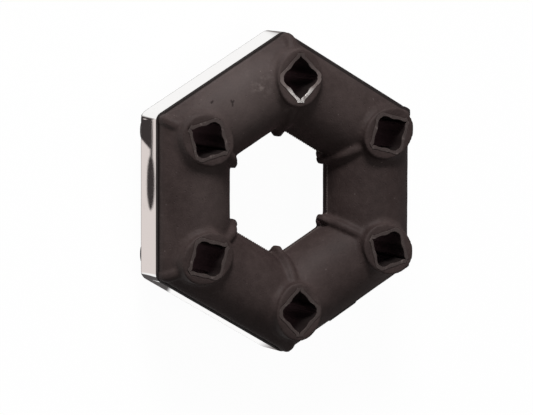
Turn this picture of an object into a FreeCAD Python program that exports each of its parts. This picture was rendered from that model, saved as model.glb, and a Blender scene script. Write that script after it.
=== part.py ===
import FreeCAD, Part
import math
import os

from FreeCAD import Vector

# A flexible shaft coupling: a six-sided rubber ring moulded round six steel sockets, held in
# compression by a steel strap round its outside. It lies on its back face, with the shaft axis
# along +Z and the origin on that axis, level with the back ends of the sockets. Two corners of
# the ring point along +Y and -Y.

# Socket layout
CORNER_COUNT = 6
FIRST_CORNER_ANGLE = 30.0
PITCH_RADIUS = 54.0
SOCKET_LENGTH = 47.0

# Pressed sheet that forms each half of a socket
SHEET_THICKNESS = 1.8
SOCKET_HALF_WIDTH = 8.7
SIDE_BEND_RADIUS = 1.8
TIP_BEND_RADIUS = 4.0
TIP_LAND = 0.25
FLANGE_COVER = 1.3
FLANGE_STRAP_COVER = 1.0
FLANGE_SIDES = 8

# Rubber leg between two sockets
LEG_RADIUS = 20.0
LEG_OUTER_REACH = 17.2
SHOULDER_RADIUS = 5.0
SEAM_HEIGHT = 0.7
SEAM_HALF_WIDTH = 0.5

# Oval boss round each end of a socket
BOSS_WALL_RADIAL = 2.1
BOSS_WALL_SIDE = 1.0
BOSS_RECESS = 0.25
BOSS_FOOT_RADIAL = 0.6
BOSS_FOOT_SIDE = 1.5
BOSS_FOOT_HEIGHT = 0.7

# Ribs and beads where the rubber wraps the edges of the sheets
RIB_HALF_WIDTH = 2.4
RIB_HEIGHT = 1.2
RIB_NOSE = 0.4
INNER_BEAD_HALF_WIDTH = 1.65
INNER_BEAD_NOSE = 3.7
INNER_BEAD_RIDGE = 1.65
INNER_BEAD_LIFT = -2.8
INNER_BEAD_SIDES = 24
NUB_HALF_WIDTH = 1.5
NUB_NOSE = 5.4
NUB_DEPTH = 4.0
NUB_FACE_HEIGHT = 5.0
NUB_FOOT_HEIGHT = 15.0

# Retaining strap
STRAP_THICKNESS = 1.0
STRAP_WIDTH = 16.0
STRAP_OFFSET = 2.2
STRAP_BEND_RADIUS = 3.5
STRAP_LAP_LENGTH = 18.0
STRAP_LAP_FLAT = 5
STRAP_JOGGLE_LENGTH = 2.5
WELD_RADIUS = 2.0
WELD_DEPTH = 0.25
WELD_SPACING = 8.0

# Sizes that follow from those above
HALF_CORNER = 180.0 / CORNER_COUNT
COS_HALF = math.cos(math.radians(HALF_CORNER))
PITCH_APOTHEM = PITCH_RADIUS * COS_HALF
MID_HEIGHT = SOCKET_LENGTH / 2
STRETCH = 1 / COS_HALF
FLANK_SHARE = math.sqrt(2) - 1
TIP_REACH = SOCKET_HALF_WIDTH + FLANK_SHARE * (SIDE_BEND_RADIUS + TIP_BEND_RADIUS)
SHEET_END = TIP_REACH + TIP_LAND
BOSS_RADIAL = SHEET_END + BOSS_WALL_RADIAL
BOSS_SIDE = SOCKET_HALF_WIDTH + SHEET_THICKNESS + BOSS_WALL_SIDE
STRAP_INNER_APOTHEM = PITCH_APOTHEM + LEG_OUTER_REACH
STRAP_BOTTOM = MID_HEIGHT - STRAP_OFFSET - STRAP_WIDTH / 2
OUTSIDE = 3 * PITCH_RADIUS


def corner_angle(index):
    return FIRST_CORNER_ANGLE + index * 2 * HALF_CORNER


def turned(shape, angle):
    copy = shape.copy()
    copy.rotate(Vector(0, 0, 0), Vector(0, 0, 1), angle)
    return copy


def around(shape, start):
    return [turned(shape, start + index * 2 * HALF_CORNER) for index in range(CORNER_COUNT)]


def polar(centre, radius, degrees):
    angle = math.radians(degrees)
    return Vector(centre.x + radius * math.cos(angle), centre.y + radius * math.sin(angle), 0)


def arc(centre, radius, start, end):
    """Edge of a circular arc in the XY plane, between two angles in degrees."""
    middle = (start + end) / 2
    points = [polar(centre, radius, angle) for angle in (start, middle, end)]
    return Part.Arc(*points).toShape()


def line(start, end):
    return Part.LineSegment(start, end).toShape()


def leg_section(growth, reach):
    """Face of a leg's section: x runs outwards from the pitch line and y runs up.

    The growth raises its round part, and the reach is where its outer flat stands.
    """
    radius = LEG_RADIUS + growth
    fillet_x = reach - SHOULDER_RADIUS
    fillet_y = math.sqrt((radius - SHOULDER_RADIUS) ** 2 - fillet_x ** 2)
    shoulder = math.degrees(math.atan2(fillet_y, fillet_x))
    seam = math.degrees(math.asin(SEAM_HALF_WIDTH / radius))
    origin = Vector(0, 0, 0)
    upper = Vector(fillet_x, fillet_y, 0)
    lower = Vector(fillet_x, -fillet_y, 0)
    tip = Vector(-radius - SEAM_HEIGHT, 0, 0)
    edges = [
        arc(upper, SHOULDER_RADIUS, 0, shoulder),
        arc(origin, radius, shoulder, 180 - seam),
        line(polar(origin, radius, 180 - seam), tip),
        line(tip, polar(origin, radius, 180 + seam)),
        arc(origin, radius, 180 + seam, 360 - shoulder),
        arc(lower, SHOULDER_RADIUS, -shoulder, 0),
        line(Vector(reach, -fillet_y, 0), Vector(reach, fillet_y, 0)),
    ]
    return Part.Face(Part.Wire(edges))


def wedge():
    """Sector between two neighbouring corners, opening along +X."""
    origin = Vector(0, 0, 0)
    points = [origin, polar(origin, OUTSIDE, -HALF_CORNER), polar(origin, OUTSIDE, HALF_CORNER)]
    sector = Part.Face(Part.makePolygon(points + points[:1])).extrude(Vector(0, 0, 2 * OUTSIDE))
    sector.translate(Vector(0, 0, -OUTSIDE))
    return sector


def legs(growth=0.0, reach=LEG_OUTER_REACH):
    """Six mitred legs, joined into one ring."""
    section = leg_section(growth, reach)
    section.rotate(Vector(0, 0, 0), Vector(1, 0, 0), 90)
    section.translate(Vector(PITCH_APOTHEM, PITCH_RADIUS, MID_HEIGHT))
    leg = section.extrude(Vector(0, -2 * PITCH_RADIUS, 0)).common(wedge())
    ring = around(leg, FIRST_CORNER_ANGLE + HALF_CORNER)
    return ring[0].multiFuse(ring[1:]).removeSplitter()


def raised_corner(growth, reach=LEG_OUTER_REACH):
    """The legs, raised by the growth and turned so that a corner is at angle zero."""
    return turned(legs(growth, reach), -FIRST_CORNER_ANGLE)


def oval_tower(radial, side, top):
    """Upright tower at the corner at angle zero, from the mid plane up, with an oval of four arcs."""
    shift = (radial - side) / (2 - math.sqrt(2))
    edges = []
    for index in range(4):
        if index % 2:
            centre = Vector(PITCH_RADIUS, (index - 2) * shift, 0)
            edges.append(arc(centre, side + shift, index * 90 - 45, index * 90 + 45))
        else:
            centre = Vector(PITCH_RADIUS + (1 - index) * shift, 0, 0)
            edges.append(arc(centre, radial - shift, index * 90 - 45, index * 90 + 45))
    tower = Part.Face(Part.Wire(edges)).extrude(Vector(0, 0, top - MID_HEIGHT))
    tower.translate(Vector(0, 0, MID_HEIGHT))
    return tower


def boss(raised_legs):
    """Upper boss at the corner at angle zero, with a low wider foot that follows the legs."""
    tower = oval_tower(BOSS_RADIAL, BOSS_SIDE, SOCKET_LENGTH - BOSS_RECESS)
    foot = oval_tower(BOSS_RADIAL + BOSS_FOOT_RADIAL, BOSS_SIDE + BOSS_FOOT_SIDE, SOCKET_LENGTH)
    return tower.fuse(foot.common(raised_legs))


def rib(raised_legs):
    """Outer rib at the corner at angle zero, from boss to boss round the outside."""
    start = Vector(PITCH_RADIUS + SHEET_END, -RIB_HALF_WIDTH, 0)
    return Part.makeBox(OUTSIDE, 2 * RIB_HALF_WIDTH, SOCKET_LENGTH, start).common(raised_legs)


def inner_bead():
    """Disc of flats in the mitre plane at angle zero whose rim rises to a ridge."""
    base_radius = LEG_RADIUS + INNER_BEAD_LIFT
    ridge_radius = base_radius + INNER_BEAD_RIDGE
    centre = PITCH_RADIUS - STRETCH * LEG_RADIUS - INNER_BEAD_NOSE + ridge_radius
    outlines = []
    for side, radius in ((-1, base_radius), (0, ridge_radius), (1, base_radius)):
        points = []
        for index in range(INNER_BEAD_SIDES):
            angle = math.radians((index + 0.5) * 360 / INNER_BEAD_SIDES)
            up = MID_HEIGHT + radius * math.sin(angle)
            points.append(Vector(centre + radius * math.cos(angle), side * INNER_BEAD_HALF_WIDTH, up))
        outlines.append(Part.makePolygon(points + points[:1]))
    disc = Part.makeLoft(outlines, True, True)
    keep = Part.makeBox(OUTSIDE, OUTSIDE, OUTSIDE, Vector(0, -OUTSIDE / 2, MID_HEIGHT - OUTSIDE / 2))
    keep.translate(Vector(PITCH_RADIUS - SHEET_END - OUTSIDE, 0, 0))
    return disc.common(keep)


def nub():
    """Nub at the middle of the inner bead, at the corner at angle zero."""
    nose = PITCH_RADIUS - STRETCH * LEG_RADIUS - NUB_NOSE
    root = nose + NUB_DEPTH
    points = [
        Vector(root, -NUB_HALF_WIDTH, MID_HEIGHT - NUB_FOOT_HEIGHT / 2),
        Vector(nose, -NUB_HALF_WIDTH, MID_HEIGHT - NUB_FACE_HEIGHT / 2),
        Vector(nose, -NUB_HALF_WIDTH, MID_HEIGHT + NUB_FACE_HEIGHT / 2),
        Vector(root, -NUB_HALF_WIDTH, MID_HEIGHT + NUB_FOOT_HEIGHT / 2),
    ]
    return Part.Face(Part.makePolygon(points + points[:1])).extrude(Vector(0, 2 * NUB_HALF_WIDTH, 0))


def corner_trim():
    """Outer rib, inner bead and the bead's nub, at the corner at angle zero."""
    outer = rib(raised_corner(RIB_HEIGHT, LEG_OUTER_REACH + RIB_NOSE))
    return [outer, inner_bead(), nub()]


def sheet_line(offset):
    """Edges of a socket half's pressed line, from its inner tip to its outer tip.

    The line bends out of the mitre plane at each tip and runs along two flanks to a rounded side.
    The offset moves it outwards, away from the opening.
    """
    tip_radius = TIP_BEND_RADIUS - offset
    low_tip = Vector(PITCH_RADIUS - TIP_REACH, TIP_BEND_RADIUS, 0)
    high_tip = Vector(PITCH_RADIUS + TIP_REACH, TIP_BEND_RADIUS, 0)
    side = Vector(PITCH_RADIUS, SOCKET_HALF_WIDTH - SIDE_BEND_RADIUS, 0)
    side_radius = SIDE_BEND_RADIUS + offset
    return [
        line(Vector(PITCH_RADIUS - SHEET_END, offset, 0), Vector(PITCH_RADIUS - TIP_REACH, offset, 0)),
        arc(low_tip, tip_radius, -90, -45),
        line(polar(low_tip, tip_radius, -45), polar(side, side_radius, 135)),
        arc(side, side_radius, 135, 45),
        line(polar(side, side_radius, 45), polar(high_tip, tip_radius, 225)),
        arc(high_tip, tip_radius, 225, 270),
        line(Vector(PITCH_RADIUS + TIP_REACH, offset, 0), Vector(PITCH_RADIUS + SHEET_END, offset, 0)),
    ]


def channel():
    """Half of a socket tube, from end to end, on the +Y side of the mitre plane."""
    closing = [
        line(Vector(PITCH_RADIUS - SHEET_END, 0, 0), Vector(PITCH_RADIUS - SHEET_END, SHEET_THICKNESS, 0)),
        line(Vector(PITCH_RADIUS + SHEET_END, SHEET_THICKNESS, 0), Vector(PITCH_RADIUS + SHEET_END, 0, 0)),
    ]
    wire = Part.Wire(Part.__sortEdges__(sheet_line(0.0) + sheet_line(SHEET_THICKNESS) + closing))
    return Part.Face(wire).extrude(Vector(0, 0, SOCKET_LENGTH))


def flange():
    """Flat of the sheet inside the rubber: the mitred leg's outline less its cover, sheared square."""
    half_width = STRETCH * LEG_RADIUS - FLANGE_COVER
    half_height = LEG_RADIUS - FLANGE_COVER
    points = []
    for index in range(FLANGE_SIDES):
        angle = math.radians((index + 0.5) * 360 / FLANGE_SIDES)
        along = PITCH_RADIUS + half_width * math.cos(angle)
        points.append(Vector(along, 0, MID_HEIGHT + half_height * math.sin(angle)))
    plate = Part.Face(Part.makePolygon(points + points[:1])).extrude(Vector(0, SHEET_THICKNESS, 0))
    edge = STRAP_INNER_APOTHEM * STRETCH - FLANGE_STRAP_COVER - STRAP_BEND_RADIUS * (STRETCH - 1)
    return plate.common(Part.makeBox(edge, SHEET_THICKNESS, SOCKET_LENGTH))


def socket_half():
    """Pressed half: a flat flange on the mitre plane with the half tube standing out of it."""
    window = Part.makeBox(2 * SHEET_END, 4 * SHEET_THICKNESS, 2 * SOCKET_LENGTH)
    window.translate(Vector(PITCH_RADIUS - SHEET_END, -SHEET_THICKNESS, -SOCKET_LENGTH / 2))
    return channel().fuse(flange().cut(window)).removeSplitter()


def socket_pocket():
    """Everything that the two halves and their opening take out of the rubber at angle zero."""
    outline = sheet_line(SHEET_THICKNESS)
    closing = [
        line(Vector(PITCH_RADIUS - SHEET_END, SHEET_THICKNESS, 0), Vector(PITCH_RADIUS - SHEET_END, 0, 0)),
        line(Vector(PITCH_RADIUS + SHEET_END, SHEET_THICKNESS, 0), Vector(PITCH_RADIUS + SHEET_END, 0, 0)),
        line(Vector(PITCH_RADIUS - SHEET_END, 0, 0), Vector(PITCH_RADIUS + SHEET_END, 0, 0)),
    ]
    wire = Part.Wire(Part.__sortEdges__(outline + closing))
    half_tube = Part.Face(wire).extrude(Vector(0, 0, SOCKET_LENGTH))
    half = half_tube.fuse(flange())
    other = half.mirror(Vector(0, 0, 0), Vector(0, 1, 0))
    return half.fuse(other).removeSplitter()


def flipped(shape):
    """Mirror image in the mid plane of the ring."""
    return shape.mirror(Vector(0, 0, MID_HEIGHT), Vector(0, 0, 1))


def hexagon_prism(apothem, bend_radius, bottom, height):
    """Six-sided prism with rounded upright edges and its corners at the ring's corners."""
    radius = apothem * STRETCH
    points = [polar(Vector(0, 0, 0), radius, corner_angle(index)) for index in range(CORNER_COUNT)]
    for point in points:
        point.z = bottom
    prism = Part.Face(Part.makePolygon(points + points[:1])).extrude(Vector(0, 0, height))
    upright = [edge for edge in prism.Edges if edge.BoundBox.ZLength > height / 2]
    return prism.makeFillet(bend_radius, upright)


def strap_lap():
    """Lapped end of the strap, joggled over the other end and spot welded to it."""
    outer = STRAP_INNER_APOTHEM + STRAP_THICKNESS
    half = STRAP_LAP_LENGTH / 2
    points = [
        Vector(outer, -half, STRAP_BOTTOM),
        Vector(outer + STRAP_THICKNESS, -half, STRAP_BOTTOM),
        Vector(outer + STRAP_THICKNESS, half - STRAP_JOGGLE_LENGTH, STRAP_BOTTOM),
        Vector(outer, half, STRAP_BOTTOM),
    ]
    lap = Part.Face(Part.makePolygon(points + points[:1])).extrude(Vector(0, 0, STRAP_WIDTH))
    for side in (-1, 1):
        along = (side * WELD_SPACING - STRAP_JOGGLE_LENGTH) / 2
        centre = Vector(outer + STRAP_THICKNESS - WELD_DEPTH, along, STRAP_BOTTOM + STRAP_WIDTH / 2)
        lap = lap.cut(Part.makeCylinder(WELD_RADIUS, STRAP_THICKNESS, centre, Vector(1, 0, 0)))
    return turned(lap, corner_angle(STRAP_LAP_FLAT - 1) + HALF_CORNER)


def strap():
    outer_bend = STRAP_BEND_RADIUS + STRAP_THICKNESS
    outside = hexagon_prism(STRAP_INNER_APOTHEM + STRAP_THICKNESS, outer_bend, STRAP_BOTTOM, STRAP_WIDTH)
    inside = hexagon_prism(STRAP_INNER_APOTHEM, STRAP_BEND_RADIUS, STRAP_BOTTOM, STRAP_WIDTH)
    return outside.cut(inside).fuse(strap_lap()).removeSplitter()


def strap_seat():
    """What the strap presses out of the rubber's outline."""
    inside = hexagon_prism(STRAP_INNER_APOTHEM, STRAP_BEND_RADIUS, STRAP_BOTTOM, STRAP_WIDTH)
    around_it = Part.makeCylinder(OUTSIDE, STRAP_WIDTH, Vector(0, 0, STRAP_BOTTOM))
    return around_it.cut(inside)


def rubber_ring():
    upper = boss(raised_corner(BOSS_FOOT_HEIGHT))
    corner = [upper, flipped(upper)] + corner_trim()
    added = [shape for piece in corner for shape in around(piece, FIRST_CORNER_ANGLE)]
    ring = legs().multiFuse(added)
    ring = ring.cut(strap_seat())
    for pocket in around(socket_pocket(), FIRST_CORNER_ANGLE):
        ring = ring.cut(pocket)
    return ring.removeSplitter()


def write(name, shape):
    if len(shape.Solids) != 1 or not shape.isValid():
        print("check", name, len(shape.Solids), shape.isValid())
    shape = shape.Solids[0] if len(shape.Solids) == 1 else shape
    shape.exportStep(os.path.join("parts", name + ".step"))


def main():
    os.makedirs("parts", exist_ok=True)
    write("rubber_ring", rubber_ring())
    write("retaining_strap", strap())
    half = socket_half()
    other = half.mirror(Vector(0, 0, 0), Vector(0, 1, 0))
    for index in range(CORNER_COUNT):
        write("socket_%d_left" % (index + 1), turned(half, corner_angle(index)))
        write("socket_%d_right" % (index + 1), turned(other, corner_angle(index)))


main()
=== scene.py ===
"""Looks of a six-sided shaft coupling: moulded rubber, pressed steel sockets and a steel strap."""
import logging
import math
from dataclasses import dataclass, field
from enum import Enum
from typing import Any, Iterable, Sequence

import bpy
from mathutils import Matrix, Vector
from mathutils.bvhtree import BVHTree


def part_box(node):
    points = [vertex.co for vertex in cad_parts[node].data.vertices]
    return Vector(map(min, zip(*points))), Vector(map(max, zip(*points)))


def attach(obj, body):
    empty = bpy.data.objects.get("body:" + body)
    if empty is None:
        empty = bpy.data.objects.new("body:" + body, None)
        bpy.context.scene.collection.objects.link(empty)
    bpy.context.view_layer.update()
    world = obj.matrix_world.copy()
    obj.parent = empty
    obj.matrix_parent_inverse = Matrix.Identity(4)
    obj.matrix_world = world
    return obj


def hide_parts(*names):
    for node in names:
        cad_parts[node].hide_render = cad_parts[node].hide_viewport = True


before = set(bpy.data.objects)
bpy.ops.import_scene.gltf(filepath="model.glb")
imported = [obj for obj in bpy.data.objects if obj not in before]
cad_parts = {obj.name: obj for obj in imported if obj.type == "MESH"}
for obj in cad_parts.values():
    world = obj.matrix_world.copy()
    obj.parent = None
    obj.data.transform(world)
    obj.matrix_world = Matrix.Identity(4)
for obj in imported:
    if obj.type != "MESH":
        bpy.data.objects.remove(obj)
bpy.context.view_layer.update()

logging.basicConfig(level=logging.INFO, format="%(message)s")
log = logging.getLogger("coupling")

BODY = "root"
PHOTO_WIDTH = 533
PHOTO_HEIGHT = 415
MM = 0.001
MERGE_MM = 0.002
MIDDLE_MM = 23.5
COS_60 = 0.5
SIN_60 = 0.866
WHITE = (1.0, 1.0, 1.0, 1.0)

Colour = tuple[float, float, float]
Triple = tuple[float, float, float]
Span = tuple[float, float]


class Slot(Enum):
    """Material slots of the record."""

    RUBBER = "rubber"
    STRAP = "strap_steel"
    SOCKET = "socket_steel"


@dataclass(frozen=True)
class Cloud:
    """Cloudy noise: the size of its patches, its count of finer layers and their strength."""

    size_mm: float
    detail: float = 3.0
    roughness: float = 0.55


class Value:
    """A number that varies over a surface: one output socket, with the maths operators."""

    def __init__(self, shader: "Shader", socket: bpy.types.NodeSocket) -> None:
        """Keeps the socket and the shader that it belongs to."""
        self.shader = shader
        self.socket = socket

    def _math(self, operation: str, first: Any, second: Any = None, clamp: bool = False) -> "Value":
        """Adds one Math node.

        Args:
            operation: the node's operation.
            first: left operand, a number or a Value.
            second: right operand, or None for a function of one value.
            clamp: whether the result is kept between 0 and 1.

        Returns:
            The node's result.
        """
        sockets = {0: first} if second is None else {0: first, 1: second}
        settings = {"operation": operation, "use_clamp": clamp}
        return self.shader.value("ShaderNodeMath", settings, sockets)

    def __add__(self, other: Any) -> "Value":
        """Sum."""
        return self._math("ADD", self, other)

    __radd__ = __add__

    def __sub__(self, other: Any) -> "Value":
        """Difference."""
        return self._math("SUBTRACT", self, other)

    def __rsub__(self, other: Any) -> "Value":
        """Difference with a number on the left."""
        return self._math("SUBTRACT", other, self)

    def __mul__(self, other: Any) -> "Value":
        """Product."""
        return self._math("MULTIPLY", self, other)

    __rmul__ = __mul__

    def __truediv__(self, other: Any) -> "Value":
        """Quotient."""
        return self._math("DIVIDE", self, other)

    def __pow__(self, other: Any) -> "Value":
        """Power."""
        return self._math("POWER", self, other)

    def clamped(self) -> "Value":
        """The value kept between 0 and 1."""
        return self._math("ADD", self, 0.0, clamp=True)

    def absolute(self) -> "Value":
        """The value without its sign."""
        return self._math("ABSOLUTE", self)

    def highest(self, other: Any) -> "Value":
        """The higher of two values."""
        return self._math("MAXIMUM", self, other)

    def ramp(self, low: float, high: float) -> "Value":
        """Rises smoothly from 0 at low to 1 at high, and falls where low is the higher one.

        Args:
            low: where the result is 0.
            high: where the result is 1.

        Returns:
            The smooth step.
        """
        if low > high:
            return 1 - self.ramp(high, low)
        settings = {"interpolation_type": "SMOOTHSTEP"}
        sockets = {"Value": self, "From Min": low, "From Max": high}
        return self.shader.value("ShaderNodeMapRange", settings, sockets)


class Shader:
    """Builds the nodes of one material or of the world."""

    def __init__(self, owner: bpy.types.Material | bpy.types.World) -> None:
        """Starts with no node at all.

        Args:
            owner: the new material or world.
        """
        owner.use_nodes = True
        self.owner = owner
        self.tree = owner.node_tree
        self.tree.nodes.clear()

    def node(self, kind: str, settings: dict[str, Any] | None = None,
             sockets: dict[Any, Any] | None = None) -> bpy.types.Node:
        """Adds a node.

        Args:
            kind: the node's type.
            settings: its properties, which are set first.
            sockets: values or links of its inputs, by name or number.

        Returns:
            The node.
        """
        made = self.tree.nodes.new(kind)
        for key, value in (settings or {}).items():
            setattr(made, key, value)
        for key, value in (sockets or {}).items():
            target = made.inputs[key]
            if isinstance(value, Value):
                value = value.socket
            if isinstance(value, bpy.types.NodeSocket):
                self.tree.links.new(value, target)
            else:
                target.default_value = value
        return made

    def value(self, kind: str, settings: dict[str, Any], sockets: dict[Any, Any],
              output: Any = 0) -> Value:
        """Adds a node and wraps one of its outputs.

        Args:
            kind: the node's type.
            settings: its properties.
            sockets: its inputs.
            output: name or number of the output.

        Returns:
            The output as a Value.
        """
        return Value(self, self.node(kind, settings, sockets).outputs[output])

    def place(self) -> tuple[bpy.types.NodeSocket, Value, Value, Value]:
        """Reads Object coordinates.

        Returns:
            The vector in metres, and its three parts in millimetres.
        """
        vector = self.node("ShaderNodeTexCoord").outputs["Object"]
        parts = self.node("ShaderNodeSeparateXYZ", sockets={0: vector})
        return vector, *(Value(self, parts.outputs[i]) * 1000 for i in range(3))

    def stretched(self, vector: Any, scale: Sequence[float]) -> bpy.types.NodeSocket:
        """The vector times a scale for each axis, for noise that runs one way."""
        return self.node("ShaderNodeMapping", {}, {"Vector": vector, "Scale": scale}).outputs[0]

    def noise(self, vector: Any, cloud: Cloud) -> Value:
        """Cloudy noise from 0 to 1.

        Args:
            vector: where it is read, in metres.
            cloud: what it is like.

        Returns:
            The noise.
        """
        sockets = {"Vector": vector, "Scale": 1000 / cloud.size_mm}
        sockets.update({"Detail": cloud.detail, "Roughness": cloud.roughness})
        return self.value("ShaderNodeTexNoise", {}, sockets, "Fac")

    def cells(self, vector: Any, size_mm: float) -> Value:
        """Distance to the nearest of scattered points, in cells."""
        sockets = {"Vector": vector, "Scale": 1000 / size_mm}
        return self.value("ShaderNodeTexVoronoi", {}, sockets, "Distance")

    def mixed(self, factor: Any, first: Any, second: Any) -> bpy.types.NodeSocket:
        """A colour between two colours.

        Args:
            factor: 0 for the first and 1 for the second.
            first: a colour or a socket.
            second: a colour or a socket.

        Returns:
            The colour's socket.
        """
        settings = {"data_type": "RGBA", "clamp_factor": True}
        sockets = {0: factor, 6: self._colour(first), 7: self._colour(second)}
        return self.node("ShaderNodeMix", settings, sockets).outputs[2]

    @staticmethod
    def _colour(value: Any) -> Any:
        """A colour with its alpha, where three numbers are given."""
        return (*value, 1.0) if isinstance(value, tuple) and len(value) == 3 else value

    def bump(self, height: Value, distance_mm: float) -> bpy.types.NodeSocket:
        """Relief from a height, where 1 stands a distance above 0."""
        sockets = {"Height": height, "Distance": distance_mm * MM, "Strength": 1.0}
        return self.node("ShaderNodeBump", {}, sockets).outputs[0]

    def surface(self, **sockets: Any) -> bpy.types.Material:
        """Ends the material with a Principled shader.

        Args:
            sockets: its inputs, with an underline for each blank.

        Returns:
            The material.
        """
        named = {key.replace("_", " "): self._colour(value) for key, value in sockets.items()}
        self.end("ShaderNodeOutputMaterial", self.node("ShaderNodeBsdfPrincipled", {}, named))
        return self.owner

    def end(self, kind: str, last: bpy.types.Node) -> None:
        """Adds the output, fed by the last shader."""
        self.node(kind, {}, {0: last.outputs[0]})


def six_sided(x: Value, y: Value) -> Value:
    """Distance from the axis, measured square to the nearest of the ring's six sides.

    Args:
        x: place across, in millimetres.
        y: place upwards, in millimetres.

    Returns:
        The distance in millimetres.
    """
    rising = (x * COS_60 + y * SIN_60).absolute()
    falling = (x * COS_60 - y * SIN_60).absolute()
    return x.absolute().highest(rising).highest(falling)


def oval(x: Value, y: Value, centre: Span, half: Span, edge: Span) -> Value:
    """A soft-edged oval.

    Args:
        x: place across, in millimetres.
        y: place upwards, in millimetres.
        centre: its middle.
        half: half its width and half its height.
        edge: where it fades out and where it is full, as shares of its size, squared.

    Returns:
        1 inside.
    """
    across = (x - centre[0]) / half[0]
    upwards = (y - centre[1]) / half[1]
    return (across * across + upwards * upwards).ramp(*edge)


@dataclass(frozen=True)
class RubberFinish:
    """Moulded black-brown rubber: dusty bloom, fine pores, a few nicks, painted shade and light."""

    dark: Colour = (0.0270, 0.0177, 0.0166)
    light: Colour = (0.0500, 0.0349, 0.0328)
    # Colour of the dust, also used for the painted highlight and the painted light.
    dust_and_light_colour: Colour = (0.150, 0.122, 0.115)
    # Colour of the painted shade on the outer walls and in the cuts.
    shadow: Colour = (0.0035, 0.0025, 0.0025)
    clouds: Cloud = Cloud(28.0, 4.0)
    cloud_light: Span = (0.35, 0.7)
    cloud_share: float = 0.5
    mottle: Cloud = Cloud(4.0)
    mottle_light: Span = (0.3, 0.75)
    mottle_share: float = 0.35
    grain: Cloud = Cloud(0.9, 2.0)
    grain_light: Span = (0.35, 0.7)
    grain_share: float = 0.2
    pore_mm: float = 2.6
    pore_edge: Span = (0.16, 0.05)
    speck_mm: float = 3.6
    speck_edge: Span = (0.1, 0.04)
    speck_mottle: Span = (0.5, 0.62)
    speck_share: float = 0.6
    dusting: Cloud = Cloud(9.0, 5.0, 0.65)
    dusting_edge: Span = (0.6, 0.8)
    dusting_clouds: Span = (0.45, 0.65)
    dusting_share: float = 0.35
    bloom: Cloud = Cloud(3.0, 4.0, 0.7)
    bloom_edge: Span = (0.42, 0.7)
    bloom_share: float = 0.55
    bloom_centre: Span = (-18.0, 51.3)
    bloom_radius: float = 8.0
    bloom_height: Span = (40.0, 42.0)
    relief_mm: float = 0.2
    grain_relief: float = 0.5
    mottle_relief: float = 0.35
    pore_relief: float = 0.5
    roughness: float = 0.58
    mottle_roughness: float = 0.12
    dusting_roughness: float = 0.15
    painted_shade_roughness: float = 0.3
    refraction: float = 1.5
    specular: float = 0.14
    # Painted light: paler patches at the top and left, as centre x and y, radius and strength.
    light_patches: tuple[tuple[float, float, float, float], ...] = (
        (-26.0, 47.0, 34.0, 0.20), (-36.0, 0.0, 26.0, 0.10), (28.0, 47.0, 26.0, 0.06),
    )
    nicks: tuple[Triple, ...] = (
        (-32.6, 43.0, 110.0), (-32.6, 43.0, 55.0), (-32.6, 43.0, -95.0), (-42.2, 43.2, 40.0),
    )
    nick_width: Span = (0.5, 0.15)
    nick_start: Span = (-0.2, 0.2)
    nick_end: Span = (2.0, 1.0)
    nick_height: Span = (36.0, 38.0)
    nick_shade_share: float = 0.8
    painted_shade_share: float = 0.75
    # Where the painted highlight on the flash teeth lies, and how strong it is.
    seam_outside: Span = (26.6, 26.3)
    seam_inside: Span = (25.5, 25.8)
    seam_height: Span = (0.7, 0.5)
    flash_highlight_share: float = 0.5
    # Where the painted shade lies: beside the strap, up the right walls and round the lower left.
    wall: Span = (62.37, 63.47)
    wall_height: Span = (32.1, 30.3)
    right_side: Span = (2.0, 6.0)
    right_wall: Span = (62.47, 62.87)
    right_height: Span = (45.0, 43.0)
    upper_right: Span = (30.0, 40.0)
    upper_right_extra: float = 0.9
    lower_wall: Span = (48.0, 64.0)
    lower_side: Span = (-25.0, -42.0)
    lower_left: Span = (8.0, -8.0)
    lower_share: float = 0.55

    def near(self, x: Value, y: Value, centre: Span, radius: float) -> Value:
        """A round patch on the face.

        Args:
            x: place across, in millimetres.
            y: place upwards, in millimetres.
            centre: the patch's middle.
            radius: where it ends.

        Returns:
            1 at the middle, falling to 0 at the radius.
        """
        off_x = x - centre[0]
        off_y = y - centre[1]
        return ((off_x * off_x + off_y * off_y) ** 0.5).ramp(radius, 0.0)

    def nick(self, x: Value, y: Value, cut: Triple) -> Value:
        """One short cut in the face.

        Args:
            x: place across, in millimetres.
            y: place upwards, in millimetres.
            cut: where it starts, and the way it runs in degrees.

        Returns:
            1 in the cut.
        """
        turn = math.radians(cut[2])
        off_x = x - cut[0]
        off_y = y - cut[1]
        ahead = off_x * math.cos(turn) + off_y * math.sin(turn)
        across = (off_x * math.sin(turn) - off_y * math.cos(turn)).absolute()
        length = ahead.ramp(*self.nick_start) * ahead.ramp(*self.nick_end)
        return across.ramp(*self.nick_width) * length

    def all_nicks(self, x: Value, y: Value, z: Value) -> Value:
        """Every short cut in the front face.

        Args:
            x: place across, in millimetres.
            y: place upwards, in millimetres.
            z: height above the back, in millimetres.

        Returns:
            1 in a cut.
        """
        nicks = self.nick(x, y, self.nicks[0])
        for cut in self.nicks[1:]:
            nicks = nicks.highest(self.nick(x, y, cut))
        return nicks * z.ramp(*self.nick_height)

    def shaded(self, x: Value, y: Value, z: Value, apothem: Value) -> Value:
        """Painted shade on the outer wall: beside the strap, up the right walls, at the lower left.

        It stands for shade in the crease by the strap and on walls facing away from the light.

        Args:
            x: place across, in millimetres.
            y: place upwards, in millimetres.
            z: height above the back, in millimetres.
            apothem: six-sided distance from the axis.

        Returns:
            1 where it is darkest.
        """
        # Painted shade in the crease where the rubber meets the strap.
        beside_strap = apothem.ramp(*self.wall) * z.ramp(*self.wall_height)
        # Painted shade on the right walls, away from the light, a little wider at the upper right.
        wider = apothem + y.ramp(*self.upper_right) * self.upper_right_extra
        right = x.ramp(*self.right_side) * wider.ramp(*self.right_wall) * z.ramp(*self.right_height)
        # Painted shade round the lower left, which faces away from the light.
        lower = apothem.ramp(*self.lower_wall) * y.ramp(*self.lower_side) * x.ramp(*self.lower_left)
        return beside_strap.highest(right).highest(lower * self.lower_share)

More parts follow.
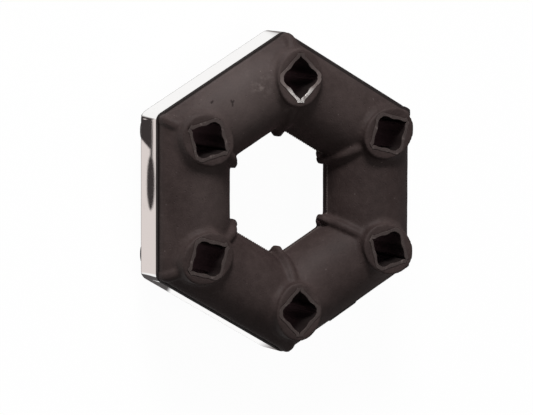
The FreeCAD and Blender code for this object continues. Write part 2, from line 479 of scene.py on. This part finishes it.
    def painted_light(self, x: Value, y: Value) -> Value:
        """Painted light: wide paler patches towards the top and the left, in the dust colour.

        Args:
            x: place across, in millimetres.
            y: place upwards, in millimetres.

        Returns:
            How much painted light lies there.
        """
        patches = [self.near(x, y, painted_light[:2], painted_light[2]) * painted_light[3] for painted_light in self.light_patches]
        return sum(patches)

    def flash_highlight(self, z: Value, apothem: Value) -> Value:
        """Painted highlight on the flash teeth along the middle of the inside walls.

        Args:
            z: height above the back, in millimetres.
            apothem: six-sided distance from the axis.

        Returns:
            1 on the flash.
        """
        band = apothem.ramp(*self.seam_outside) * apothem.ramp(*self.seam_inside)
        return band * (z - MIDDLE_MM).absolute().ramp(*self.seam_height)

    def bloomed(self, shader: Shader, vector: Any, x: Value, y: Value, z: Value) -> Value:
        """The patch of bloom on the front face.

        Args:
            shader: the rubber's material.
            vector: place, in metres.
            x: place across, in millimetres.
            y: place upwards, in millimetres.
            z: height above the back, in millimetres.

        Returns:
            1 where the bloom is full.
        """
        patch = self.near(x, y, self.bloom_centre, self.bloom_radius)
        patch = patch * shader.noise(vector, self.bloom).ramp(*self.bloom_edge)
        return patch * z.ramp(*self.bloom_height)

    def build(self) -> bpy.types.Material:
        """Makes the material.

        Returns:
            The rubber.
        """
        shader = Shader(bpy.data.materials.new("moulded_rubber"))
        vector, x, y, z = shader.place()
        clouds = shader.noise(vector, self.clouds)
        mottle = shader.noise(vector, self.mottle)
        grain = shader.noise(vector, self.grain)
        pores = shader.cells(vector, self.pore_mm).ramp(*self.pore_edge)
        tone = clouds.ramp(*self.cloud_light) * self.cloud_share
        tone = tone + mottle.ramp(*self.mottle_light) * self.mottle_share
        tone = tone + grain.ramp(*self.grain_light) * self.grain_share
        colour = shader.mixed(tone.clamped(), self.dark, self.light)
        dusty = shader.noise(vector, self.dusting).ramp(*self.dusting_edge)
        dusty = dusty * clouds.ramp(*self.dusting_clouds)
        specks = shader.cells(vector, self.speck_mm).ramp(*self.speck_edge)
        specks = specks * mottle.ramp(*self.speck_mottle)
        bloom = self.bloomed(shader, vector, x, y, z)
        apothem = six_sided(x, y)
        # Dust, specks and bloom, with the painted flash highlight and the painted light patches.
        dust_and_painted_light = dusty * self.dusting_share + specks * self.speck_share
        dust_and_painted_light = dust_and_painted_light + bloom * self.bloom_share
        dust_and_painted_light = dust_and_painted_light + self.flash_highlight(z, apothem) * self.flash_highlight_share + self.painted_light(x, y)
        colour = shader.mixed(dust_and_painted_light.clamped(), colour, self.dust_and_light_colour)
        nicks = self.all_nicks(x, y, z)
        # Painted shade on the outer walls and inside the cuts.
        painted_shade = self.shaded(x, y, z, apothem).highest(nicks * self.nick_shade_share)
        height = grain * self.grain_relief + mottle * self.mottle_relief
        height = height - pores * self.pore_relief - nicks
        roughness = self.roughness + mottle * self.mottle_roughness
        roughness = roughness + dusty * self.dusting_roughness + painted_shade * self.painted_shade_roughness
        return shader.surface(
            Base_Color=shader.mixed(painted_shade * self.painted_shade_share, colour, self.shadow),
            Roughness=roughness.clamped(),
            IOR=self.refraction,
            Specular_IOR_Level=self.specular,
            Normal=shader.bump(height, self.relief_mm),
        )


@dataclass(frozen=True)
class SocketFinish:
    """Pressed steel under a dull film of rubber, with rubbed rims and one end worn bare."""

    film: Colour = (0.012, 0.0085, 0.0080)
    # Painted shade deep inside the sockets.
    recess_shade: Colour = (0.0030, 0.0021, 0.0021)
    rim: Colour = (0.052, 0.0395, 0.0372)
    worn_rim: Colour = (0.170, 0.138, 0.130)
    steel: Colour = (0.66, 0.625, 0.605)
    rim_reach: Span = (22.6, 23.4)
    recess_shade_reach: Span = (22.5, 11.5)
    rubbed: Cloud = Cloud(2.6)
    rubbed_worn: Span = (0.55, 0.75)
    rubbed_share: float = 0.45
    rubbed_bare: Span = (0.72, 0.45)
    grain: Cloud = Cloud(1.4, 2.0)
    relief_mm: float = 0.05
    bare_metal: float = 0.95
    roughness: float = 0.6
    bare_polish: float = 0.25
    rubbed_roughness: float = 0.08
    specular: float = 0.12
    column_side: Span = (13.0, 11.5)
    column_foot: Span = (40.0, 41.0)
    column_height: Span = (30.0, 40.0)
    worn_y: Span = (64.0, 46.5)
    bare_y: Span = (50.5, 46.5)

    def build(self) -> bpy.types.Material:
        """Makes the material.

        Returns:
            The sockets' steel.
        """
        shader = Shader(bpy.data.materials.new("socket_steel"))
        vector, x, y, z = shader.place()
        off_middle = (z - MIDDLE_MM).absolute()
        rim = off_middle.ramp(*self.rim_reach)
        # Painted shade: the film darkens deeper into the socket.
        depth = off_middle.ramp(*self.recess_shade_reach)
        rubbed = shader.noise(vector, self.rubbed)
        column = x.absolute().ramp(*self.column_side) * y.ramp(*self.column_foot)
        column = column * z.ramp(*self.column_height)
        worn = column * y.ramp(*self.worn_y)
        worn = worn + rubbed.ramp(*self.rubbed_worn) * self.rubbed_share
        bare = column * y.ramp(*self.bare_y) * rim * rubbed.ramp(*self.rubbed_bare)
        colour = shader.mixed(depth, self.film, self.recess_shade)
        colour = shader.mixed(rim, colour, shader.mixed(worn.clamped(), self.rim, self.worn_rim))
        colour = shader.mixed(bare, colour, self.steel)
        return shader.surface(
            Base_Color=colour,
            Metallic=bare * self.bare_metal,
            Roughness=self.roughness - bare * self.bare_polish + rubbed * self.rubbed_roughness,
            Specular_IOR_Level=self.specular,
            Normal=shader.bump(shader.noise(vector, self.grain), self.relief_mm),
        )


@dataclass(frozen=True)
class StrapFinish:
    """Bright rolled steel band with fine lines along its length."""

    steel: Colour = (0.905, 0.895, 0.885)
    # Painted shade along the strap's edges, where they meet the rubber.
    edge_shade: Colour = (0.030, 0.024, 0.023)
    stain: Colour = (0.50, 0.46, 0.44)
    line_stretch: Triple = (0.03, 0.03, 1.0)
    lines: Cloud = Cloud(0.5)
    blotches: Cloud = Cloud(11.0, 4.0, 0.6)
    stained: Span = (0.62, 0.8)
    stain_share: float = 0.25
    waves: Cloud = Cloud(14.0, 1.0)
    wave_relief: float = 3.0
    relief_mm: float = 0.008
    roughness: float = 0.02
    blotch_roughness: float = 0.03
    line_roughness: float = 0.02
    edge_shade_roughness: float = 0.5
    edge_shade_dulling: float = 0.9
    top_edge: Span = (29.1, 29.25)
    bottom_edge: Span = (13.75, 13.6)

    def build(self) -> bpy.types.Material:
        """Makes the material.

        Returns:
            The strap's steel.
        """
        shader = Shader(bpy.data.materials.new("strap_steel"))
        vector, _, _, z = shader.place()
        lines = shader.noise(shader.stretched(vector, self.line_stretch), self.lines)
        blotches = shader.noise(vector, self.blotches)
        stain = blotches.ramp(*self.stained) * self.stain_share
        colour = shader.mixed(stain, self.steel, self.stain)
        # Painted shade on the top and bottom edges, next to the rubber.
        edge = z.ramp(*self.top_edge).highest(z.ramp(*self.bottom_edge))
        colour = shader.mixed(edge, colour, self.edge_shade)
        relief = lines + shader.noise(vector, self.waves) * self.wave_relief
        roughness = self.roughness + blotches * self.blotch_roughness
        roughness = roughness + lines * self.line_roughness + edge * self.edge_shade_roughness
        return shader.surface(
            Base_Color=colour,
            Metallic=1 - edge * self.edge_shade_dulling,
            Roughness=roughness,
            Normal=shader.bump(relief, self.relief_mm),
        )


def select_only(*objects: bpy.types.Object) -> None:
    """Selects these objects and nothing else.

    Args:
        objects: the objects, of which the first becomes active.
    """
    bpy.ops.object.select_all(action="DESELECT")
    for item in objects:
        item.select_set(True)
    bpy.context.view_layer.objects.active = objects[0]


def merged_copy(node: str, name: str) -> bpy.types.Object:
    """Copies a CAD node, which stays as it is, and merges the copy's loose triangles.

    Args:
        node: the node's name.
        name: the copy's name.

    Returns:
        The copy, with no parent.
    """
    select_only(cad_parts[node])
    bpy.ops.object.duplicate()
    copy = bpy.context.view_layer.objects.active
    copy.parent = None
    copy.matrix_world = Matrix.Identity(4)
    for key in [key for key in copy.keys() if key.startswith("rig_")]:
        del copy[key]
    copy.name = name
    copy.data.name = name
    select_only(copy)
    bpy.ops.object.mode_set(mode="EDIT")
    bpy.ops.mesh.select_all(action="SELECT")
    bpy.ops.mesh.remove_doubles(threshold=MERGE_MM * MM)
    bpy.ops.object.mode_set(mode="OBJECT")
    return copy


def modify(piece: bpy.types.Object, kind: str, **settings: Any) -> None:
    """Adds a modifier and applies it.

    Args:
        piece: the object.
        kind: the modifier's type.
        settings: its properties.
    """
    select_only(piece)
    bpy.ops.object.modifier_add(type=kind)
    modifier = piece.modifiers[-1]
    for key, value in settings.items():
        setattr(modifier, key, value)
    bpy.ops.object.modifier_apply(modifier=modifier.name)


def dress(piece: bpy.types.Object, material: bpy.types.Material, slot: Slot, *nodes: str) -> None:
    """Gives a piece its finish and its body, and hides the CAD nodes that it stands for.

    Args:
        piece: the object.
        material: its material.
        slot: the record's slot of the finish; not used.
        nodes: CAD nodes that it replaces.
    """
    piece.data.materials.clear()
    piece.data.materials.append(material)
    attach(piece, BODY)
    if nodes:
        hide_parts(*nodes)
    triangles = sum(len(face.vertices) - 2 for face in piece.data.polygons)
    log.info("%s: %d triangles", piece.name, triangles)


@dataclass(frozen=True)
class PressedLine:
    """Rounds the sides of the six sockets and draws their flanks in towards the tips."""

    corners: int = 6
    first_angle: float = 30.0
    pitch_radius_mm: float = 54.0
    shoulder_mm: float = 2.9
    shoulder_width_mm: float = 1.9
    shoulder_push_mm: float = 1.05
    waist_mm: float = 7.2
    waist_width_mm: float = 2.5
    waist_pull_mm: float = 0.95
    reach_mm: float = 10.8
    sheet_top_mm: float = 10.5
    sheet_spare_mm: float = 0.5
    least_line_mm: float = 2.0
    fade_mm: float = 1.6

    def corner(self, index: int) -> Matrix:
        """Turn that brings the corner at angle zero to its place."""
        return Matrix.Rotation(math.radians(self.first_angle + index * 360 / self.corners), 4, "Z")

    def outward(self, spot: Vector) -> Vector:
        """Looks for the corner nearest to a point.

        Args:
            spot: the point.

        Returns:
            The direction from the axis through that corner.
        """
        step = 2 * math.pi / self.corners
        first = math.radians(self.first_angle)
        nearest = first + round((math.atan2(spot.y, spot.x) - first) / step) * step
        return Vector((math.cos(nearest), math.sin(nearest), 0))

    @staticmethod
    def swell(along: float, middle: float, width: float) -> float:
        """A bell curve: 1 at its middle."""
        return math.exp(-((along - middle) / width) ** 2)

    def moved(self, spot: Vector) -> Vector:
        """Where a point of the steel, or of the rubber next to it, goes.

        Args:
            spot: the point, in metres.

        Returns:
            The point after the shaping.
        """
        outward = self.outward(spot)
        sideways = Vector((-outward.y, outward.x, 0))
        along = abs(spot.dot(outward) / MM - self.pitch_radius_mm)
        side = spot.dot(sideways) / MM
        push = self.shoulder_push_mm * self.swell(along, self.shoulder_mm, self.shoulder_width_mm)
        push -= self.shoulder_push_mm * self.swell(along, -self.shoulder_mm, self.shoulder_width_mm)
        push -= self.waist_pull_mm * self.swell(along, self.waist_mm, self.waist_width_mm)
        outer_line = max(self.sheet_top_mm + self.sheet_spare_mm - along, self.least_line_mm)
        fade = 1 - min(max((abs(side) - outer_line) / self.fade_mm, 0), 1)
        fade *= min(max((self.reach_mm - along) / self.fade_mm, 0), 1) * min(abs(side), 1)
        return spot + sideways * math.copysign(push * fade * MM, side)


@dataclass
class RubberRing:
    """The moulded ring, softened at its edges, and the flash along its inside walls."""

    node: str = "rubber_ring"
    voxel_mm: float = 0.8
    quick_voxel_mm: float = 1.5
    smoothing: float = 0.5
    smoothing_steps: int = 1
    bead_smoothing_steps: int = 4
    steel_clearance_mm: float = 1.0
    touching_mm: float = 0.03
    bite_mm: float = 0.8
    most_triangles: int = 190_000
    unevenness_mm: float = 0.25
    unevenness_size_mm: float = 14.0
    unevenness_level: float = 0.6
    flash_height_mm: float = 0.8
    flash_low_share: float = 0.55
    flash_root_mm: float = 0.6
    flash_pitch_mm: float = 1.1
    flash_thickness_mm: float = 0.5
    flash_length_mm: float = 21.0
    flash_sway_mm: float = 0.12
    flash_sway_turn: float = 1.7
    wall_apothem_mm: float = 26.77
    bead_centre_mm: float = 46.76
    bead_bend_mm: float = 17.3
    bead_thickness_mm: float = 4.8
    bead_end_mm: float = 43.0
    bead_smooth_end_mm: float = 40.5
    nub_centre_mm: float = 27.9
    nub_radius_mm: float = 2.3
    nub_stretch: float = 1.5
    line: PressedLine = PressedLine()
    halves: list[tuple[Vector, Vector, BVHTree]] = field(default_factory=list)

    def build(self, material: bpy.types.Material, steel: Sequence[str]) -> None:
        """Makes the ring and its flash.

        Args:
            material: the rubber.
            steel: the CAD nodes that the rubber holds, which keep its edges sharp beside them.
        """
        ring = merged_copy(self.node, "moulded_ring")
        self.halves = [self.searchable(name) for name in steel]
        self.bite(ring)
        ring = self.with_beads(ring)
        voxel = self.voxel_mm
        modify(ring, "REMESH", mode="VOXEL", voxel_size=voxel * MM)
        self.soften(ring)
        for vertex in ring.data.vertices:
            vertex.co = self.line.moved(vertex.co)
        self.thin(ring)
        select_only(ring)
        bpy.ops.object.shade_smooth()
        dress(ring, material, Slot.RUBBER, self.node)
        self.flash(material)

    @staticmethod
    def searchable(node: str) -> tuple[Vector, Vector, BVHTree]:
        """Readies a steel node for looking up its nearest face.

        Args:
            node: the node's name.

        Returns:
            The two corners of its box, and the tree of its faces.
        """
        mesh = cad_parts[node].data
        corners = [vertex.co.copy() for vertex in mesh.vertices]
        faces = [tuple(face.vertices) for face in mesh.polygons]
        low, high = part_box(node)
        return low, high, BVHTree.FromPolygons(corners, faces)

    def facing(self, spot: Vector, reach: float) -> Vector | None:
        """Looks for steel near a point.

        Args:
            spot: the point.
            reach: how far to look, in metres.

        Returns:
            The normal of the nearest steel face, or None where none is that near.
        """
        for low, high, tree in self.halves:
            if all(low[i] - reach <= spot[i] <= high[i] + reach for i in range(3)):
                normal = tree.find_nearest(spot, reach)[1]
                if normal is not None:
                    return normal
        return None

    def bite(self, ring: bpy.types.Object) -> None:
        """Lets the rubber reach a little into the steel that it is bonded to, so that no gap shows.

        Args:
            ring: the ring, before it is remeshed.
        """
        for vertex in ring.data.vertices:
            normal = self.facing(vertex.co, self.touching_mm * MM)
            if normal is not None:
                level = Vector((normal.x, normal.y, 0))
                vertex.co -= level * self.bite_mm * MM

    def middle(self) -> float:
        """Height of the ring's mid plane, in metres."""
        low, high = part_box(self.node)
        return (low.z + high.z) / 2

    def bead(self) -> bpy.types.Object:
        """Makes the round bead inside a corner: the inner part of a torus that stands upright.

        Returns:
            The bead, for the corner at angle zero.
        """
        bpy.ops.object.select_all(action="DESELECT")
        bpy.ops.mesh.primitive_torus_add(
            major_segments=96,
            minor_segments=20,
            location=(self.bead_centre_mm * MM, 0, self.middle()),
            rotation=(math.radians(90), 0, 0),
            major_radius=self.bead_bend_mm * MM,
            minor_radius=self.bead_thickness_mm / 2 * MM,
        )
        bead = bpy.context.view_layer.objects.active
        bpy.ops.object.transform_apply(location=True, rotation=True, scale=True)
        bpy.ops.object.mode_set(mode="EDIT")
        bpy.ops.mesh.select_all(action="SELECT")
        bpy.ops.mesh.bisect(plane_co=(self.bead_end_mm * MM, 0, 0), plane_no=(1, 0, 0),
                            use_fill=True, clear_outer=True)
        bpy.ops.object.mode_set(mode="OBJECT")
        return bead

    def nub(self) -> bpy.types.Object:
        """Makes the round nub at the middle of a bead.

        Returns:
            The nub, for the corner at angle zero.
        """
        bpy.ops.object.select_all(action="DESELECT")
        bpy.ops.mesh.primitive_uv_sphere_add(
            segments=24,
            ring_count=16,
            radius=self.nub_radius_mm * MM,
            location=(self.nub_centre_mm * MM, 0, self.middle()),
        )
        nub = bpy.context.view_layer.objects.active
        nub.scale = (1.0, 1.0, self.nub_stretch)
        bpy.ops.object.transform_apply(location=True, rotation=True, scale=True)
        return nub

    def with_beads(self, ring: bpy.types.Object) -> bpy.types.Object:
        """Joins a bead and a nub to the inside of each corner, as loose shells.

        Args:
            ring: the ring, before it is remeshed.

        Returns:
            The ring with its beads.
        """
        parts = [ring]
        for index in range(self.line.corners):
            for piece in (self.bead(), self.nub()):
                piece.data.transform(self.line.corner(index))
                parts.append(piece)
        select_only(*parts)
        bpy.ops.object.join()
        return bpy.context.view_layer.objects.active

    def on_bead(self, spot: Vector) -> bool:
        """Tells the beads and nubs from the rest.

        Args:
            spot: a point of the ring.

        Returns:
            Whether it is on a bead or nub at the inside of a corner.
        """
        outward = self.line.outward(spot)
        sideways = abs(spot.x * outward.y - spot.y * outward.x)
        inside = spot.dot(outward) < self.bead_smooth_end_mm * MM
        return inside and sideways < self.bead_thickness_mm * MM

    def soften(self, ring: bpy.types.Object) -> None:
        """Rounds the edges that stand clear of the steel, and makes the surface slightly uneven.

        Args:
            ring: the remeshed ring.
        """
        clear_group = "clear_of_steel"
        bead_group = "beads"
        reach = self.steel_clearance_mm * MM
        vertices = ring.data.vertices
        clear = [vertex.index for vertex in vertices if self.facing(vertex.co, reach) is None]
        beads = [index for index in clear if self.on_bead(vertices[index].co)]
        ring.vertex_groups.new(name=clear_group).add(clear, 1.0, "REPLACE")
        ring.vertex_groups.new(name=bead_group).add(beads, 1.0, "REPLACE")
        modify(ring, "SMOOTH", factor=self.smoothing, iterations=self.smoothing_steps,
               vertex_group=clear_group)
        modify(ring, "SMOOTH", factor=self.smoothing, iterations=self.bead_smoothing_steps,
               vertex_group=bead_group)
        texture = bpy.data.textures.new("unevenness", "CLOUDS")
        texture.noise_scale = self.unevenness_size_mm * MM
        modify(ring, "DISPLACE", texture=texture, texture_coords="LOCAL",
               strength=self.unevenness_mm * MM, mid_level=self.unevenness_level,
               vertex_group=clear_group)
        ring.vertex_groups.clear()

    def thin(self, ring: bpy.types.Object) -> None:
        """Takes triangles out of flat stretches where there are too many.

        Args:
            ring: the softened ring.
        """
        triangles = sum(len(face.vertices) - 2 for face in ring.data.polygons)
        if triangles > self.most_triangles:
            modify(ring, "DECIMATE", ratio=self.most_triangles / triangles)

    def flash(self, material: bpy.types.Material) -> None:
        """Makes the thin toothed flash along the mid plane of the six inside walls.

        Args:
            material: the rubber.
        """
        middle = self.middle()
        steps = round(self.flash_length_mm / self.flash_pitch_mm) * 2
        strips = []
        for index in range(self.line.corners):
            bpy.ops.object.select_all(action="DESELECT")
            bpy.ops.mesh.primitive_grid_add(x_subdivisions=steps, y_subdivisions=1, size=1.0)
            strip = bpy.context.view_layer.objects.active
            turn = Matrix.Rotation(math.radians(index * 360 / self.line.corners), 4, "Z")
            for vertex in strip.data.vertices:
                step = round((vertex.co.x + 0.5) * steps)
                tip = self.flash_height_mm * (1.0 if step % 2 else self.flash_low_share)
                depth = tip if vertex.co.y > 0 else -self.flash_root_mm
                sway = self.flash_sway_mm * math.sin(self.flash_sway_turn * step + index)
                out = (self.wall_apothem_mm - depth) * MM
                along = vertex.co.x * self.flash_length_mm * MM
                vertex.co = turn @ Vector((out, along, middle + sway * MM))
            modify(strip, "SOLIDIFY", thickness=self.flash_thickness_mm * MM, offset=0.0)
            strips.append(strip)
        select_only(*strips)
        bpy.ops.object.join()
        flash = bpy.context.view_layer.objects.active
        flash.name = "seam_flash"
        bpy.ops.object.mode_set(mode="EDIT")
        bpy.ops.mesh.select_all(action="SELECT")
        bpy.ops.mesh.normals_make_consistent(inside=False)
        bpy.ops.object.mode_set(mode="OBJECT")
        dress(flash, material, Slot.RUBBER)


@dataclass
class SteelPieces:
    """The pressed socket halves and the strap, with their edges eased."""

    socket_edge_mm: float = 0.3
    strap_edge_mm: float = 0.18
    edge_angle: float = 35.0
    smooth_angle: float = 35.0
    flat_angle: float = 0.5
    cut_spacing_mm: float = 1.1
    cuts_each_side: int = 9
    line: PressedLine = PressedLine()

    def pressed(self, piece: bpy.types.Object) -> None:
        """Cuts a half across its flanks and moves the cuts onto the pressed line.

        Args:
            piece: the half, selected and active.
        """
        outward = self.line.outward(sum((vertex.co for vertex in piece.data.vertices), Vector()))
        bpy.ops.object.mode_set(mode="EDIT")
        for step in range(-self.cuts_each_side, self.cuts_each_side + 1):
            bpy.ops.mesh.select_all(action="SELECT")
            spot = outward * (self.line.pitch_radius_mm + step * self.cut_spacing_mm) * MM
            bpy.ops.mesh.bisect(plane_co=spot, plane_no=outward)
        bpy.ops.object.mode_set(mode="OBJECT")
        for vertex in piece.data.vertices:
            vertex.co = self.line.moved(vertex.co)

    def eased(self, node: str, name: str, edge_mm: float) -> bpy.types.Object:
        """A copy of a node with its edges rounded.

        Args:
            node: the CAD node.
            name: the new piece's name.
            edge_mm: how wide the rounding is.

        Returns:
            The piece.
        """
        piece = merged_copy(node, name)
        bpy.ops.object.mode_set(mode="EDIT")
        bpy.ops.mesh.select_all(action="SELECT")
        bpy.ops.mesh.dissolve_limited(angle_limit=math.radians(self.flat_angle))
        bpy.ops.object.mode_set(mode="OBJECT")
        if node.startswith("socket_"):
            self.pressed(piece)
        modify(piece, "BEVEL", width=edge_mm * MM, segments=2, limit_method="ANGLE",
               angle_limit=math.radians(self.edge_angle), use_clamp_overlap=True,
               harden_normals=False)
        select_only(piece)
        bpy.ops.object.shade_smooth_by_angle(angle=math.radians(self.smooth_angle))
        modify(piece, "WEIGHTED_NORMAL", keep_sharp=True, weight=100)
        return piece

    def build(self, halves: Iterable[str], socket: bpy.types.Material,
              strap: bpy.types.Material) -> None:
        """Makes the twelve halves and the strap.

        Args:
            halves: names of the socket halves' nodes.
            socket: the sockets' steel.
            strap: the strap's steel.
        """
        for node in halves:
            piece = self.eased(node, "pressed_" + node, self.socket_edge_mm)
            dress(piece, socket, Slot.SOCKET, node)
        band = self.eased("retaining_strap", "steel_strap", self.strap_edge_mm)
        dress(band, strap, Slot.STRAP, "retaining_strap")


@dataclass(frozen=True)
class FloorMirror:
    """What reflections show of the floor, painted after the steel and socket walls of the photo.

    It is white, tinted at the left, dim at the right and in the ring's hole, reddish under the
    legs, and holds the dark shapes of a room.
    """

    white: Colour = (1.0, 1.0, 1.0)
    dark: Colour = (0.045, 0.038, 0.038)
    left: Colour = (0.745, 0.68, 0.66)
    right: Colour = (0.22, 0.20, 0.195)
    hole: Colour = (0.10, 0.085, 0.082)
    under: Colour = (0.95, 0.55, 0.60)
    left_side: Span = (-62.0, -66.0)
    left_ends: Span = (42.0, 38.0)
    right_side: Span = (0.0, 8.0)
    right_near: Span = (60.0, 64.0)
    right_far: Span = (86.0, 300.0)
    right_far_share: float = 0.5
    under_edge: Span = (60.0, 57.0)
    hole_edge: Span = (34.0, 31.0)
    block_slope: float = 1.1
    block_level: float = 103.3
    block_edge: Span = (-0.6, 0.6)
    block_side: Span = (-77.7, -77.0)
    block_foot: Span = (12.0, 14.0)
    lens_centre: Span = (-76.4, 4.1)
    lens_half: Span = (2.1, 13.0)
    lens_edge: Span = (1.15, 0.8)
    neck_x: float = -76.7
    neck_width: Span = (0.8, 0.4)
    dot_centre: Span = (-73.4, 34.8)
    dot_half: Span = (1.0, 1.0)
    dot_edge: Span = (1.2, 0.4)
    wedge_start: Span = (-65.0, -37.5)
    wedge_ends: tuple[Span, Span] = ((24.0, 21.0), (-4.0, 0.0))
    wedge_sides: tuple[Span, Span] = ((0.6, 1.0), (6.0, 5.0))
    bend_centre: Span = (-66.0, -49.5)
    bend_half: Span = (8.0, 8.5)
    bend_edge: Span = (1.1, 0.9)
    corner_share: float = 0.95

    def wedge(self, x: Value, y: Value) -> Value:
        """The dark strip that the lower left flat mirrors.

        Args:
            x: place across, in millimetres.
            y: place upwards, in millimetres.

        Returns:
            1 inside.
        """
        off_x = x - self.wedge_start[0]
        off_y = y - self.wedge_start[1]
        along = off_x * SIN_60 - off_y * COS_60
        outward = off_x * -COS_60 - off_y * SIN_60
        first, last = self.wedge_ends
        inner, outer = self.wedge_sides
        return along.ramp(*first) * along.ramp(*last) * outward.ramp(*inner) * outward.ramp(*outer)

    def shapes(self, x: Value, y: Value, beside: Value) -> Value:
        """The dark shapes that the left flat and the lower left corner mirror.

        Args:
            x: place across, in millimetres.
            y: place upwards, in millimetres.
            beside: 1 beside the left flat.

        Returns:
            1 where it is dark.
        """
        block = (y - x * self.block_slope - self.block_level).ramp(*self.block_edge)
        block = block * x.ramp(*self.block_side) * y.ramp(*self.block_foot)
        lens = oval(x, y, self.lens_centre, self.lens_half, self.lens_edge)
        neck = (x - self.neck_x).absolute().ramp(*self.neck_width) * y.ramp(*self.block_foot)
        dot = oval(x, y, self.dot_centre, self.dot_half, self.dot_edge)
        bend = oval(x, y, self.bend_centre, self.bend_half, self.bend_edge)
        corner = self.wedge(x, y).highest(bend) * self.corner_share
        return (block.highest(lens).highest(neck) * beside * (1 - dot)).highest(corner).clamped()

    def colour(self, shader: Shader, x: Value, y: Value) -> bpy.types.NodeSocket:
        """The colour that reflections show.

        Args:
            shader: the floor's material.
            x: place across, in millimetres.
            y: place upwards, in millimetres.

        Returns:
            The colour's socket.
        """
        beside = x.ramp(*self.left_side) * y.absolute().ramp(*self.left_ends)
        apothem = six_sided(x, y)
        nearer = 1 - apothem.ramp(*self.right_far) * self.right_far_share
        outside = x.ramp(*self.right_side) * apothem.ramp(*self.right_near) * nearer
        shown = shader.mixed(beside, self.white, self.left)
        shown = shader.mixed(outside, shown, self.right)
        shown = shader.mixed(apothem.ramp(*self.under_edge), shown, self.under)
        shown = shader.mixed(apothem.ramp(*self.hole_edge), shown, self.hole)
        return shader.mixed(self.shapes(x, y, beside), shown, self.dark)


@dataclass
class Studio:
    """Camera, lamps, world and pale floor."""

    camera_distance: float = 1.640
    camera_turn: Triple = (5.5, 27.75, -0.23)
    pixels_per_metre: float = 2180.0
    face_height: float = 0.047
    face_pixel: Span = (300.5, 195.6)
    sensor: float = 36.0
    sky_strength: float = 0.2
    clip: Span = (0.05, 20.0)
    floor_size: float = 6.0
    floor_height: float = -0.0002
    floor_colour: Colour = (0.9, 0.9, 0.9)
    floor_seen_white: float = 0.97
    aim: Triple = (0.0, 0.0, 0.02)
    lamps: list[tuple[str, Triple, float, float]] = field(default_factory=lambda: [
        ("key_lamp", (-0.6, 2.2, 1.35), 0.9, 84.0),
        ("fill_lamp", (0.3, -0.1, 2.0), 0.8, 6.0),
    ])

    def camera(self) -> None:
        """Makes the camera that was fitted to the photograph."""
        pitch, yaw, roll = (math.radians(angle) for angle in self.camera_turn)
        turn = Matrix.Rotation(roll, 3, "Z") @ Matrix.Rotation(pitch, 3, "X")
        turn = turn @ Matrix.Rotation(yaw, 3, "Y")
        towards = turn.transposed().col[2]
        data = bpy.data.cameras.new("photo_camera")
        camera = bpy.data.objects.new("photo_camera", data)
        bpy.context.scene.collection.objects.link(camera)
        camera.matrix_world = Matrix.Translation(
            Vector((0, 0, self.face_height)) + towards * self.camera_distance
        ) @ turn.transposed().to_4x4()
        data.sensor_width = self.sensor
        data.lens = self.pixels_per_metre * self.camera_distance * self.sensor / PHOTO_WIDTH
        data.shift_x = -(self.face_pixel[0] - PHOTO_WIDTH / 2) / PHOTO_WIDTH
        data.shift_y = (self.face_pixel[1] - PHOTO_HEIGHT / 2) / PHOTO_WIDTH
        data.clip_start, data.clip_end = self.clip
        bpy.context.scene.camera = camera

    def lights(self) -> None:
        """Makes the soft lamps and the pale world."""
        aim = Vector(self.aim)
        for name, spot, size, power in self.lamps:
            data = bpy.data.lights.new(name, "AREA")
            data.shape = "DISK"
            data.size = size
            data.energy = power
            lamp = bpy.data.objects.new(name, data)
            bpy.context.scene.collection.objects.link(lamp)
            lamp.location = spot
            lamp.rotation_euler = (Vector(spot) - aim).to_track_quat("Z", "Y").to_euler()
        world = bpy.data.worlds.new("studio")
        bpy.context.scene.world = world
        sky = Shader(world)
        seen = sky.node("ShaderNodeBackground", {}, {"Color": WHITE, "Strength": 1.0})
        lit = sky.node("ShaderNodeBackground", {}, {"Color": WHITE, "Strength": self.sky_strength})
        camera = sky.node("ShaderNodeLightPath").outputs["Is Camera Ray"]
        sockets = {0: camera, 1: lit.outputs[0], 2: seen.outputs[0]}
        sky.end("ShaderNodeOutputWorld", sky.node("ShaderNodeMixShader", {}, sockets))

    def floor(self) -> None:
        """Makes the pale floor: nearly white to the camera, and painted for reflections."""
        bpy.ops.object.select_all(action="DESELECT")
        bpy.ops.mesh.primitive_plane_add(size=self.floor_size, location=(0, 0, self.floor_height))
        floor = bpy.context.view_layer.objects.active
        floor.name = "floor"
        shader = Shader(bpy.data.materials.new("pale_floor"))
        _, x, y, _ = shader.place()
        path = shader.node("ShaderNodeLightPath")
        seen = Value(shader, path.outputs["Is Camera Ray"]) * self.floor_seen_white
        glossy = path.outputs["Is Glossy Ray"]
        shown = FloorMirror().colour(shader, x, y)
        plain = shader.node("ShaderNodeBsdfDiffuse", {}, {"Color": (*self.floor_colour, 1.0)})
        glow = shader.node("ShaderNodeEmission", {}, {"Color": WHITE, "Strength": 1.0})
        mirror = shader.node("ShaderNodeEmission", {}, {"Color": shown, "Strength": 1.0})
        sockets = {0: seen, 1: plain.outputs[0], 2: glow.outputs[0]}
        first = shader.node("ShaderNodeMixShader", {}, sockets)
        sockets = {0: glossy, 1: first.outputs[0], 2: mirror.outputs[0]}
        last = shader.node("ShaderNodeMixShader", {}, sockets)
        shader.end("ShaderNodeOutputMaterial", last)
        floor.data.materials.append(shader.owner)

    def build(self) -> None:
        """Makes the camera, the lights and the floor."""
        self.camera()
        self.lights()
        self.floor()
        bpy.context.scene.view_settings.view_transform = "Standard"


def main() -> None:
    """Builds the studio and every piece."""
    Studio().build()
    rubber = RubberFinish().build()
    socket = SocketFinish().build()
    strap = StrapFinish().build()
    halves = sorted(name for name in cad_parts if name.startswith("socket_"))
    RubberRing().build(rubber, halves)
    SteelPieces().build(halves, socket, strap)


if __name__ == "__main__":
    main()
